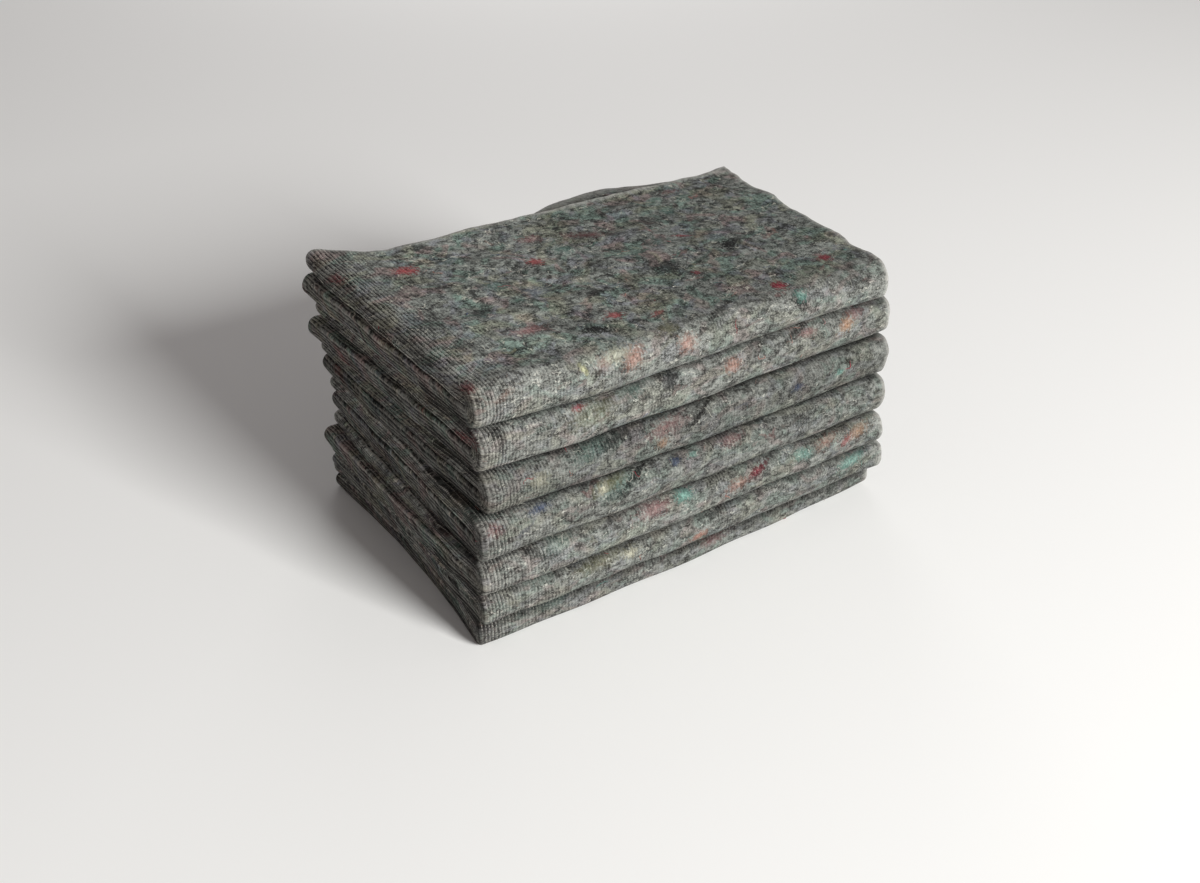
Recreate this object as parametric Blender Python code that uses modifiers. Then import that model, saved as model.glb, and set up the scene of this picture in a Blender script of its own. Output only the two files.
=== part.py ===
# A stack of seven moving blankets: thick stitch-bonded felt, each blanket cut 1.50 x 2.00 m and folded in
# half three times, to eight layers of about 0.75 x 0.51 m. Metres, +Z up. The origin is on the floor under
# the middle of the stack. The last fold of every blanket faces -Y, its side folds face -X, and its cut
# edges lie at +X and +Y.
from collections import namedtuple
from math import pi

import bmesh
import bpy
import numpy as np

# The folded stack. A sheet of 1.50 x 2.00 m is folded once in its width and twice in its length.
STACK_WIDTH = 0.750
STACK_DEPTH = 0.510
CLOTH = 0.0040  # thickness of the felt
LAYERS = 8
LOWER_RUN = 0.476  # from the middle of a blanket's back fold to where its front fold begins
NOSE_DEPTH = 0.86  # how far a front fold stands out, as a share of its half height
NOSE_SQUARENESS = 2.6  # 2 is a round fold, more is a squarer one
SIDE_SQUARENESS = 6.0
BACK_ROUNDING = 0.055  # the side folds are round again by the back, over about this length
CLEARANCE = 0.0006  # between one blanket and the next
MILLIMETRE = 0.001
MIDDLE_X = 3.7  # the middle of the uneven stack from that of an even one, in millimetres
MIDDLE_Y = 2.7

# One row for each blanket, from the floor up, in millimetres. First its height at the four corners. Then how
# far its sides are pushed out of line along X: the left one at the front, at the back and in the lower half's
# back, how far it bows in between, and the right one at the front and back. Then how far its front is pushed
# along Y at the left and right, and how far the front's middle bows out. Last, how much its upper side sags
# in the middle and leans to one side, and where along the back, as a share of the width, its second cut
# layer sticks out.
Blanket = namedtuple(
    "Blanket",
    "name high_front_left high_front_right high_back_left high_back_right "
    "left_front left_back left_back_lower left_bow right_front right_back "
    "front_left front_right front_bow sag lean tongue",
)
BLANKETS = (
    Blanket("blanket_1", 50, 48, 52, 48, -6, -3, 0, 17, 10, 4, 9, 20, 9, 4, 1, 0.35),
    Blanket("blanket_2", 53, 51, 52, 50, -7, -10, 0, 4, 4, 12, -10, -9, 0, 3, 1, 0.60),
    Blanket("blanket_3", 58, 58, 57, 55, -8, 0, -19, -4, -3, 2, -12, -8, 0, 2, 0, 0.25),
    Blanket("blanket_4", 68, 65, 63, 62, -6, 2, 0, 3, -3, -8, -12, -3, 0, 6, 1, 0.75),
    Blanket("blanket_5", 67, 69, 66, 65, 9, -4, 0, -3, 0, 10, -4, 4, 0, 6, 2, 0.40),
    Blanket("blanket_6", 67, 64, 66, 63, 3, -4, -16, 3, 5, -4, 2, 15, 0, 5, 4, 0.55),
    Blanket("blanket_7", 66, 61, 73, 74, 1, -9, -9, 0, -8, 27, 8, 15, 0, 1, 1, 0.68),
)

# The cut edges of a blanket's four layers, from the one on the outside of the front fold inwards, in
# millimetres: how far each ends short of the back fold in the upper half, and short of the right side.
Layer = namedtuple("Layer", "back_setback right_setback")
LAYER_EDGES = (
    Layer(48, 0),
    Layer(40, 5),
    Layer(24, 3),
    Layer(10, 8),
)
SETBACK_BLEND = 0.10  # over this length from the left side a cut edge leaves the line of the side fold
TONGUE_REACH = 56  # how far the second layer sticks out past its edge elsewhere, in millimetres
TONGUE_WIDTH = 0.16  # and half its width, as a share of the stack's
TOP_ROLL = 5  # how far the top blanket's side fold stands up at the back, in millimetres
TOP_ROLL_WIDTH = 0.045

# Faces along each stretch of the cloth
FACES_ON_SIDE_RUN = 5
FACES_ON_SIDE_FOLD = 4
FACES_ON_UPPER_RUN = 3
FACES_ON_FRONT_FOLD = 8
FACES_ON_LOWER_RUN = 3
FACES_ON_BACK_FOLD = 4

FELT_COLOUR = (0.120, 0.122, 0.112, 1.0)
FELT_ROUGHNESS = 0.95


def clear_scene():
    for item in list(bpy.data.objects):
        bpy.data.objects.remove(item, do_unlink=True)


def felt_material(name):
    material = bpy.data.materials.new(name)
    material.use_nodes = True
    shader = material.node_tree.nodes["Principled BSDF"]
    shader.inputs["Base Color"].default_value = FELT_COLOUR
    shader.inputs["Roughness"].default_value = FELT_ROUGHNESS
    shader.inputs["Metallic"].default_value = 0.0
    return material


def blend(start, end, share):
    return start + (end - start) * share


def layer_pitch(row):
    """Height from the middle of one layer to the middle of the next."""
    heights = (row.high_front_left, row.high_front_right, row.high_back_left, row.high_back_right)
    return (sum(heights) / len(heights) * MILLIMETRE - CLOTH - CLEARANCE) / (LAYERS - 1)


def fold_outline(angle, squareness):
    """The outline of a fold of radius 1, from its foot at -90 degrees to its top at 90: depth and height."""
    depth = np.cos(angle).clip(0.0, 1.0) ** (2 / squareness)
    height = np.sign(angle) * np.abs(np.sin(angle)) ** (2 / squareness)
    return depth, height


def level(index, x, y):
    """Height of the boundary that blanket number index lies on, at a place in the stack."""
    share_x = np.clip(x / STACK_WIDTH + 0.5, -0.1, 1.1)
    share_y = np.clip(y / STACK_DEPTH + 0.5, -0.1, 1.1)
    height = 0.0
    for row in BLANKETS[:index]:
        front = blend(row.high_front_left, row.high_front_right, share_x)
        back = blend(row.high_back_left, row.high_back_right, share_x)
        height += blend(front, back, share_y)
    if index > 0:
        below = BLANKETS[index - 1]
        height += below.sag * (4 * (share_x - 0.5) ** 2 - 0.5)
        height += below.lean * np.sin(2 * pi * (share_x - 0.5))
    if index == len(BLANKETS):
        height += TOP_ROLL * share_y * np.exp(-((share_x * STACK_WIDTH / TOP_ROLL_WIDTH) ** 2))
    return height * MILLIMETRE


def fold_blanket(index, side, length):
    """Places one point of the cloth in the stack.

    side runs across the sheet: -2 to -1 is the run below the side fold, -1 to 1 the side fold, 1 to 2 the run
    above it. length runs along the sheet: 0 to 1 upper run, to 2 front fold, to 3 lower run, to 4 back fold,
    and to 7 the same in reverse in the layer outside it.
    """
    row = BLANKETS[index]
    pitch = layer_pitch(row)

    # The first fold puts two layers together, joined at the back of the lower half.
    back_angle = (np.clip(length - 3.5, -0.5, 0.5)) * pi
    side_radius = pitch + pitch / 2 * np.sin(back_angle)

    # The second one folds them round the left side, into a packet of four. The side folds are pressed square,
    # apart from the one on top of the stack.
    stretch = np.abs(length - 3.5) - 0.5
    squarest = SIDE_SQUARENESS
    if index == len(BLANKETS) - 1 and side > 0:
        squarest = blend(SIDE_SQUARENESS, 2.0, np.clip(stretch - 1, 0.0, 1.0))
    from_back = np.clip(np.minimum(stretch, 3 - stretch), 0.0, 1.0) * LOWER_RUN
    squarest = blend(squarest, 2.0, np.exp(-((from_back / BACK_ROUNDING) ** 2)))
    outer = np.clip(side_radius / pitch - 0.5, 0.0, 1.0)
    side_depth, side_height = fold_outline(np.clip(side, -1.0, 1.0) * pi / 2, blend(2.0, squarest, outer))
    side_rise = side_radius * side_height
    layer = 1.5 - side_rise / pitch
    right_setback = np.interp(layer, range(4), [edge.right_setback for edge in LAYER_EDGES]) * MILLIMETRE
    side_inset = 1.5 * pitch + CLOTH / 2
    side_share = np.maximum(np.abs(side) - 1, 0.0)
    x = side_inset - side_radius * side_depth
    x += side_share * (STACK_WIDTH - side_inset - right_setback)

    # The last one folds the packet round the front.
    radius = side_rise + 2 * pitch
    squareness = blend(2.0, NOSE_SQUARENESS, (radius / pitch - 0.5) / 3)
    depth, height = fold_outline((np.clip(stretch - 1, 0.0, 1.0) - 0.5) * pi, squareness)
    setback = np.interp(layer, range(4), [edge.back_setback for edge in LAYER_EDGES])
    tongue = np.exp(-(((x / STACK_WIDTH - row.tongue) / TONGUE_WIDTH) ** 2))
    setback -= TONGUE_REACH * tongue * np.clip(1 - np.abs(layer - 1), 0.0, 1.0)
    setback *= np.clip(x / SETBACK_BLEND, 0.0, 1.0) * MILLIMETRE
    y = NOSE_DEPTH * (3.5 * pitch - radius * depth) + CLOTH / 2
    y += np.clip(1 - stretch, 0.0, 1.0) * LOWER_RUN + pitch / 2 * np.cos(back_angle) * (stretch <= 0)
    y += np.clip(stretch - 2, 0.0, 1.0) * (LOWER_RUN - setback)

    # The blanket lies in the stack a little out of line, squeezed between its neighbours.
    share_x = x / STACK_WIDTH
    share_y = y / STACK_DEPTH
    lower_half = np.clip(0.5 - radius * height / pitch, 0.0, 1.0)
    left = blend(row.left_front, row.left_back + row.left_back_lower * lower_half, share_y)
    left += 4 * row.left_bow * share_y * (1 - share_y)
    right = blend(row.right_front, row.right_back, np.sin(pi / 2 * share_y.clip(0.0, 1.0)))
    front = blend(row.front_left, row.front_right, share_x)
    front -= 4 * row.front_bow * share_x * (1 - share_x) * (1 - share_y)
    x += (blend(left, right, share_x) - MIDDLE_X) * MILLIMETRE - STACK_WIDTH / 2
    y += (front - MIDDLE_Y) * MILLIMETRE - STACK_DEPTH / 2
    margin = (CLOTH + CLEARANCE) / 2
    low = level(index, x, y) + (margin if index > 0 else CLOTH / 2)
    high = level(index + 1, x, y) - margin
    return x, y, blend(low, high, radius * height / (7 * pitch) + 0.5)


def stations(stretches):
    """Places along the cloth where the grid's lines run, from each stretch's number of faces."""
    places = [0.0]
    for faces in stretches:
        start = round(places[-1])
        places += [start + step / faces for step in range(1, faces + 1)]
    return places


def make_blanket(index, material, collection):
    row = BLANKETS[index]
    half_fold = FACES_ON_SIDE_FOLD // 2
    sides = [place - 2 for place in stations((FACES_ON_SIDE_RUN, half_fold, half_fold, FACES_ON_SIDE_RUN))]
    inner = (FACES_ON_UPPER_RUN, FACES_ON_FRONT_FOLD, FACES_ON_LOWER_RUN)
    lengths = stations(inner + (FACES_ON_BACK_FOLD,) + inner[::-1])
    form = bmesh.new()
    bmesh.ops.create_grid(form, x_segments=len(sides) - 1, y_segments=len(lengths) - 1, size=0.5)
    for vertex in form.verts:
        column = round((vertex.co.x + 0.5) * (len(sides) - 1))
        line = round((vertex.co.y + 0.5) * (len(lengths) - 1))
        vertex.co = fold_blanket(index, sides[column], lengths[line])
    mesh = bpy.data.meshes.new(row.name)
    form.to_mesh(mesh)
    form.free()
    mesh.shade_smooth()
    mesh.materials.append(material)
    blanket = bpy.data.objects.new(row.name, mesh)
    collection.objects.link(blanket)
    felt = blanket.modifiers.new("felt thickness", "SOLIDIFY")
    felt.thickness = CLOTH
    felt.offset = 0.0
    felt.use_even_offset = True
    return blanket


def main():
    clear_scene()
    collection = bpy.data.collections.new("moving_blanket_stack")
    bpy.context.scene.collection.children.link(collection)
    for index, row in enumerate(BLANKETS):
        make_blanket(index, felt_material(row.name + "_felt"), collection)


main()
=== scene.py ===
# The looks of the moving blanket stack: seven thick felt blankets, each folded to eight layers.
from math import cos, pi, radians, sin

import bmesh
import bpy
import numpy as np
from mathutils import Matrix, Vector


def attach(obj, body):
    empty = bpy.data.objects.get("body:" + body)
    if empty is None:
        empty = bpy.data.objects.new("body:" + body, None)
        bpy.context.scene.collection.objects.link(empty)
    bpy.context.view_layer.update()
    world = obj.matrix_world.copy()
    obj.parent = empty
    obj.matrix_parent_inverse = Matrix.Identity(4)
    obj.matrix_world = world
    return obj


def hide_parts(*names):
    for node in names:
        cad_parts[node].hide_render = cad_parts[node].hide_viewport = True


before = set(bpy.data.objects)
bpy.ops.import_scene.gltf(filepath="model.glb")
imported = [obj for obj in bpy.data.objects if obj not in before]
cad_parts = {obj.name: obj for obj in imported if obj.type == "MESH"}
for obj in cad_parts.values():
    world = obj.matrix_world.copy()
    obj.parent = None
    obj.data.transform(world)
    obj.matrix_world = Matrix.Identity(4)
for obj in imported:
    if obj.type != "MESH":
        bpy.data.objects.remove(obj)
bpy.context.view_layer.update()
print("frame loaded, nodes:", ", ".join(sorted(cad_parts)))

millimetre = 0.001

# how every blanket is folded; the same folds as the solids, with rounder steps
folding = {
    "sheet": (1.50, 2.00),
    "width": 0.750,
    "depth": 0.510,
    "layers": 8,
    "fill": 0.84,  # felt thickness as a share of the height each layer takes
    "lowerRun": 0.476,
    "lengthPlaces": (0, 0.476, 0.556, 1.032, 1.044, 1.520, 1.610, 2.086),  # metres along the sheet
    "frontDepth": 0.86,
    "frontSquareness": 2.6,
    "roundBack": (2.2, 0.055),  # side folds are rounder by the back: how round, and over what length
    "cornerSteps": 0.15,  # brings the grid's lines closer together at the corners of the side fold
    "topRollSquareness": 2.05,
    "topRollUnderside": 10,
    "topFrontRoundness": 0.7,  # of the top blanket's front fold, above its middle
    "clearance": 0.0006,
    "middle": (3.7, 2.7),
    "backSetbacks": (48, 40, 24, 10),  # cut edges of the four layers, outermost first
    "rightSetbacks": (0, 5, 3, 8),
    "setbackBlend": 0.10,
    "tongueReach": 56,
    "tongueWidth": 0.16,
    "droopFrom": 0.045,
    "droop": 0.7,  # how quickly the second layer's edge hangs down behind the top one
    "topRoll": 5,
    "topSlope": 5,
    "topRollWidth": 0.045,
}

# shallow creases in the top: from x, y to x, y, and depth and width in metres
creases = [
    (-0.225, -0.107, -0.144, -0.212, 0.0018, 0.010),
    (-0.321, -0.116, -0.271, -0.191, 0.0016, 0.009),
    (-0.149, 0.068, 0.001, 0.047, 0.0012, 0.011),
    (-0.088, -0.205, 0.045, -0.217, 0.0014, 0.010),
    (0.120, -0.150, 0.235, -0.190, 0.0014, 0.010),
    (0.090, 0.150, 0.210, 0.100, 0.0014, 0.012),
]

# small unevenness of the cloth: height in metres and size of its swells
unevenness = {
    "level": (0.0013, 0.17),
    "topLevel": (0.0016, 0.12),
    "front": (0.0020, 0.12),
    "frontReach": 0.05,  # how far in from the front
    "left": (0.0011, 0.10),
    "leftReach": 0.04,
    "layer": (0.45, 0.13),  # share of the gap between layers
    "cutEdge": (0.0030, 0.09),
    "cutEdgeFine": (0.0006, 0.022),
    "edgeApart": 0.03,  # how differently each layer's edge wavers
    "curl": (0.0040, 0.014),  # height and width of the top layer's upturned edge
    "curlSwells": 0.12,
}

# from the floor up, in millimetres; high: front left, front right, back left, back right;
# left: front, back, lower half's back, bow; right: front, back; front: left, right, bow
# squareness: of the side folds, where 2 is round; the rounder one shows its slot at the front
blanketColumns = ("high", "left", "right", "front", "sag", "lean", "tongue", "squareness", "shade")
blanketRows = [
    ((50, 48, 52, 48), (-6, -3, 0, 17), (10, 4), (9, 20, 9), 4, 1, 0.35, 20, 0.92),
    ((53, 51, 52, 50), (-7, -10, 0, 4), (4, 12), (-10, -9, 0), 3, 1, 0.60, 20, 0.95),
    ((58, 58, 57, 55), (-8, 0, -19, -4), (-3, 2), (-12, -8, 0), 2, 0, 0.25, 16, 0.97),
    ((68, 65, 63, 62), (-6, 2, 0, 3), (-3, -8), (-12, -3, 0), 6, 1, 0.75, 12, 0.87),
    ((67, 69, 66, 65), (9, -4, 0, -3), (0, 10), (-4, 4, 0), 6, 2, 0.40, 4.2, 0.76),
    ((67, 64, 66, 63), (3, -4, -16, 3), (5, -4), (2, 15, 0), 5, 4, 0.55, 9, 0.98),
    ((66, 61, 73, 74), (1, -9, -9, 0), (-8, 27), (8, 15, 0), 1, 1, 0.68, 8, 1.03),
]
blankets = [dict(zip(blanketColumns, row)) for row in blanketRows]
for number, blanket in enumerate(blankets, 1):
    blanket["node"] = f"blanket_{number}"
topBlanket = len(blankets) - 1


def blend(start, end, share):
    return start + (end - start) * share


def clip(value, low=0, high=1):
    return np.clip(value, low, high)


def swell(size, seed, across, along, through=0.0):
    # smooth random field of about -1 to 1, its bumps about size metres wide
    draw = np.random.default_rng(seed)
    waves, usualPeak = 8, 3.4
    total = 0.0
    for _ in range(waves):
        turn, tilt, shift = draw.uniform(0, 2 * pi), draw.uniform(-0.6, 0.6), draw.uniform(0, 2 * pi)
        wave = 2 * pi / (size * draw.uniform(0.7, 1.7))
        total = total + np.sin(wave * (across * cos(turn) + along * sin(turn) + through * tilt) + shift)
    return total / usualPeak


def layerPitch(blanket):
    high = sum(blanket["high"]) / 4 * millimetre
    return (high - folding["clearance"]) / (folding["layers"] - 1 + folding["fill"])


def level(index, x, y):
    # height of the boundary under blanket number index
    shareX = clip(x / folding["width"] + 0.5, -0.1, 1.1)
    shareY = clip(y / folding["depth"] + 0.5, -0.1, 1.1)
    height = 0.0 * x
    for blanket in blankets[:index]:
        frontLeft, frontRight, backLeft, backRight = blanket["high"]
        height += blend(blend(frontLeft, frontRight, shareX), blend(backLeft, backRight, shareX), shareY)
    if index > 0:
        below = blankets[index - 1]
        height += below["sag"] * (4 * (shareX - 0.5) ** 2 - 0.5)
        height += below["lean"] * np.sin(2 * pi * (shareX - 0.5))
    height *= millimetre
    if index > topBlanket:
        roll = np.exp(-((shareX * folding["width"] / folding["topRollWidth"]) ** 2))
        height += (folding["topRoll"] * shareY - folding["topSlope"] * (1 - shareY)) * millimetre * roll
        tall, size = unevenness["topLevel"]
        height += tall * swell(size, 70, x, y) + 0.3 * tall * swell(size * 0.3, 71, x, y)
        for startX, startY, endX, endY, deep, wide in creases:
            overX, overY = endX - startX, endY - startY
            reach = overX**2 + overY**2
            share = clip(((x - startX) * overX + (y - startY) * overY) / reach)
            away = np.hypot(x - startX - share * overX, y - startY - share * overY)
            height -= deep * np.exp(-((away / wide) ** 2)) * (0.35 + 0.65 * np.sin(pi * share))
    elif index > 0:
        tall, size = unevenness["level"]
        height += tall * swell(size, 60 + index, x, y)
    return height


def roundFold(angle, squareness):
    # a round fold of radius 1 that grows squarer with its squareness
    out, up = np.cos(angle), np.sin(angle)
    reach = (np.abs(out) ** squareness + np.abs(up) ** squareness) ** (-1 / squareness)
    return out * reach, up * reach


def foldBlanket(index, side, length):
    # side: -2..-1 run below the side fold, -1..1 the fold, 1..2 the run above it
    # length: 0..1 upper run, 1..2 front fold, 2..3 lower run, 3..4 back fold, 4..7 the same again outside
    blanket = blankets[index]
    width, depth, run = folding["width"], folding["depth"], folding["lowerRun"]
    pitch = layerPitch(blanket)
    felt = folding["fill"] * pitch

    # first fold: two layers, joined at the back
    backAngle = clip(length - 3.5, -0.5, 0.5) * pi
    sideRadius = pitch + pitch / 2 * np.sin(backAngle)

    # second fold: round the left side
    stretch = np.abs(length - 3.5) - 0.5  # 0..1 lower half, 1..2 front fold, 2..3 upper half
    squarest = blanket["squareness"]
    if index == topBlanket:
        roll = np.where(side > 0, folding["topRollSquareness"], folding["topRollUnderside"])
        squarest = blend(squarest, roll, clip(stretch - 1))
    roundest, reach = folding["roundBack"]
    fromBack = clip(np.minimum(stretch, 3 - stretch)) * run
    squarest = blend(squarest, roundest, np.exp(-((fromBack / reach) ** 2)))
    sideSquareness = blend(2.0, squarest, clip(sideRadius / pitch - 0.5))
    sideAngle = clip(side, -1, 1) * pi / 2 + folding["cornerSteps"] * np.sin(2 * pi * clip(side, -1, 1))
    sideOut, sideUp = roundFold(sideAngle, sideSquareness)
    sideRise = sideRadius * sideUp
    layer = 1.5 - sideRise / pitch
    sideInset = 1.5 * pitch + felt / 2
    sideShare = np.maximum(np.abs(side) - 1, 0)
    rightSetback = np.interp(layer, range(4), folding["rightSetbacks"]) * millimetre
    x = sideInset - sideRadius * sideOut
    x = x + sideShare * (width - sideInset - rightSetback)

    # last fold: round the front
    radius = sideRise + 2 * pitch
    squareness = blend(2.0, folding["frontSquareness"], (radius / pitch - 0.5) / 3)
    if index == topBlanket:
        squareness = blend(squareness, 2.0, folding["topFrontRoundness"] * clip(stretch * 2 - 3))
    frontOut, frontUp = roundFold((clip(stretch - 1) - 0.5) * pi, squareness)
    setback = np.interp(layer, range(4), folding["backSetbacks"])
    tongue = np.exp(-(((x / width - blanket["tongue"]) / folding["tongueWidth"]) ** 2))
    setback = setback - folding["tongueReach"] * tongue * clip(1 - np.abs(layer - 1))
    setback = setback * clip(x / folding["setbackBlend"]) * millimetre
    y = folding["frontDepth"] * (3.5 * pitch - radius * frontOut) + felt / 2
    y = y + clip(1 - stretch) * run + pitch / 2 * np.cos(backAngle) * (stretch <= 0)
    y = y + np.maximum(stretch - 2, 0) * (run - setback)
    rank = radius * frontUp / pitch  # -3.5 for the lowest layer to 3.5 for the highest

    # cut edges are never quite straight
    def waver(seed, along):
        tall, size = unevenness["cutEdge"]
        fineTall, fineSize = unevenness["cutEdgeFine"]
        apart = layer * unevenness["edgeApart"]
        return tall * swell(size, seed, along, apart) + fineTall * swell(fineSize, seed + 10, along, apart)

    rightEdge = sideShare ** 4 * (np.abs(side) > 1)
    backEdge = clip(stretch - 2) ** 4
    place = np.interp(length, range(8), folding["lengthPlaces"])
    rightWaver, backWaver = waver(10 + index, place), waver(30 + index, x)
    x = x + rightEdge * rightWaver
    y = y + backEdge * backWaver

    # pushed out of line in the stack
    shareX, shareY = x / width, y / depth
    leftFront, leftBack, leftBackLower, leftBow = blanket["left"]
    rightFront, rightBack = blanket["right"]
    frontLeft, frontRight, frontBow = blanket["front"]
    lowerHalf = clip(0.5 - rank)
    leftBack = leftBack + leftBackLower * lowerHalf
    left = blend(leftFront, leftBack, shareY) + 4 * leftBow * shareY * (1 - shareY)
    right = blend(rightFront, rightBack, np.sin(pi / 2 * clip(shareY)))
    front = blend(frontLeft, frontRight, shareX) - 4 * frontBow * shareX * (1 - shareX) * (1 - shareY)
    x = x + (blend(left, right, shareX) - folding["middle"][0]) * millimetre - width / 2
    y = y + (front - folding["middle"][1]) * millimetre - depth / 2

    # squeezed between its neighbours
    margin = (felt + folding["clearance"]) / 2
    low = level(index, x, y) + (margin if index > 0 else felt / 2)
    high = level(index + 1, x, y) - margin
    share, slack = unevenness["layer"]
    loose = clip((np.abs(side) - 1) * 8) * (1 - np.abs(rank) / 3.5)
    z = blend(low, high, rank / 7 + 0.5)
    z = z + share * (pitch - felt) * loose * swell(slack, 50 + index, x, y, rank)
    if index == topBlanket:
        # the top layer's cut edge turns up a little
        tall, size = unevenness["curl"]
        toEdge = np.maximum(3 - stretch, 0) * run
        topLayer = clip(rank - 2.5) * clip(side - 1, 0, 0.25) * 4
        uneven = 1 + 0.5 * swell(unevenness["curlSwells"], 75, x, y)
        z = z + tall * topLayer * np.exp(-toEdge / size) * uneven
        behind = np.maximum(y - depth / 2 + folding["droopFrom"], 0)
        z = z - folding["droop"] * behind ** 2 * (rank > 1.5) * (stretch > 2) * clip(3.5 - rank)
    tall, size = unevenness["front"]
    near = np.exp(-(y + depth / 2) / unevenness["frontReach"])
    y = y + tall * near * swell(size, 80 + index, x, z * 2)
    tall, size = unevenness["left"]
    near = np.exp(-(x + width / 2) / unevenness["leftReach"])
    x = x + tall * near * swell(size, 90 + index, y, z * 3)
    return x, y, z


mesh = {
    "sideMarks": (-2, -1, 1, 2),
    "sideCounts": (30, 24, 110),
    "lengthMarks": (0, 1, 2, 3, 4, 5, 6, 7),
    "lengthCounts": (16, 10, 16, 8, 36, 36, 50),
    "topSideCounts": (30, 26, 140),
    "topLengthCounts": (16, 10, 16, 8, 38, 38, 84),
    "edgeAngles": (84, 60, 32),  # degrees round the half circle of a cut edge
}


def foldLines(marks, counts, edge):
    # places of the grid's lines, and the share of the felt's thickness at each; edge is half the thickness
    steps = [np.linspace(a, b, n, endpoint=False) for a, b, n in zip(marks[:-1], marks[1:], counts)]
    inner = np.append(np.concatenate(steps), marks[-1])
    angles = np.radians(mesh["edgeAngles"])
    before = marks[0] - edge * np.sin(angles)
    after = marks[-1] + edge * np.sin(angles[::-1])
    thickness = np.concatenate([np.cos(angles), np.ones(len(inner)), np.cos(angles[::-1])])
    return np.concatenate([before, inner, after]), thickness


outerNose = 5.5  # the middle of the outside of the front fold, along the length


def frontLine(index, share):
    # how far back a blanket's front fold lies, in millimetres
    left, right, bow = blankets[index]["front"]
    return blend(left, right, share) - 4 * bow * share * (1 - share)


# what the mesh tells the felt about its wear and its painted shade, beside its shape; lengths in metres
wearAndShade = {
    "sidePull": 0.045,  # how far from the side fold the cloth is pulled tight
    "frontPull": (0.10, 0.44, 0.11),  # at the front: all along, more by the side fold, how far that reaches
    "cornerPull": (0.5, 0.012),  # where the two folds meet: how strong, and how far
    # rubbed pale beside the side fold's middle: where it starts and over how much, then where it ends
    "rubbedFrom": (0.25, 0.3),
    "rubbedTo": (1.25, 0.25),
    "rubbedOffNose": (0.5, 0.1),
    # painted shade where the front folds press together: shares of the front fold, from its middle
    "pressedFrom": (0.33, 0.13),
    "pressedTo": 0.75,
    "overhangShade": 0.64,  # how far down the shade of an overhang reaches, as a share of it
    "overhangEdge": (0.001, 1.2, 0.010),  # from where, how deep it starts, and the height over which it fades
    "fray": 0.004,  # how far in from a cut edge
}


def clothWearAndShade(index, side, length, x, y, z):
    # how strongly the cloth is pulled round its folds, where its stitching shows, and where painted shade
    # darkens it
    fromFold = np.maximum(np.abs(side) - 1, 0) * folding["width"]
    onFront = clip(1.6 - 2 * np.abs(np.abs(length - 3.5) - 2))
    everywhere, more, reach = wearAndShade["frontPull"]
    frontPull = onFront * (everywhere + more * np.exp(-fromFold / reach))
    pull = np.maximum(np.exp(-fromFold / wearAndShade["sidePull"]), frontPull)
    strength, reach = wearAndShade["cornerPull"]
    pull = blend(pull, strength, onFront * clip(1 - fromFold / reach))

    # how much the corners of the side folds are rubbed pale
    fromNose = np.abs(length - outerNose)
    start, rise = wearAndShade["rubbedFrom"]
    end, fall = wearAndShade["rubbedTo"]
    offNose, offRise = wearAndShade["rubbedOffNose"]
    rubbed = clip((np.abs(side) - start) / rise) * clip((end - np.abs(side)) / fall)
    rubbed = rubbed * clip((fromNose - offNose) / offRise)

    # painted shade where the front folds press on each other
    start, rise = wearAndShade["pressedFrom"]
    pressed = clip((fromNose - start) / rise)
    if index == topBlanket:
        rubbed = rubbed * ((side < 0) | (length < outerNose))
        pressed = pressed * (length < outerNose)
    else:
        # and painted shade on each one, by how deep it lies under the blanket that hangs over it
        share = x / folding["width"] + 0.5
        overhang = (frontLine(index, share) - frontLine(index + 1, share)) * millimetre
        start, deepest, fade = wearAndShade["overhangEdge"]
        under = level(index + 1, x, y) - z + start - overhang * wearAndShade["overhangShade"]
        pressed = np.maximum(pressed, clip(deepest - under / fade))
    pressed = pressed * (fromNose < wearAndShade["pressedTo"]) * (side > 0)

    # how near a cut edge it is, where the fibres are loose and a painted highlight runs
    fromSides = (2 - np.abs(side)) * folding["width"]
    fromEnds = np.minimum(length, 7 - length) * folding["lowerRun"]
    cut = np.exp(-np.maximum(np.minimum(fromSides, fromEnds), 0) / wearAndShade["fray"])
    return {"pull": pull, "rubbed": rubbed, "pressed": pressed, "cut": cut}


def addObject(name, data):
    thing = bpy.data.objects.new(name, data)
    bpy.context.scene.collection.objects.link(thing)
    return thing


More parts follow.
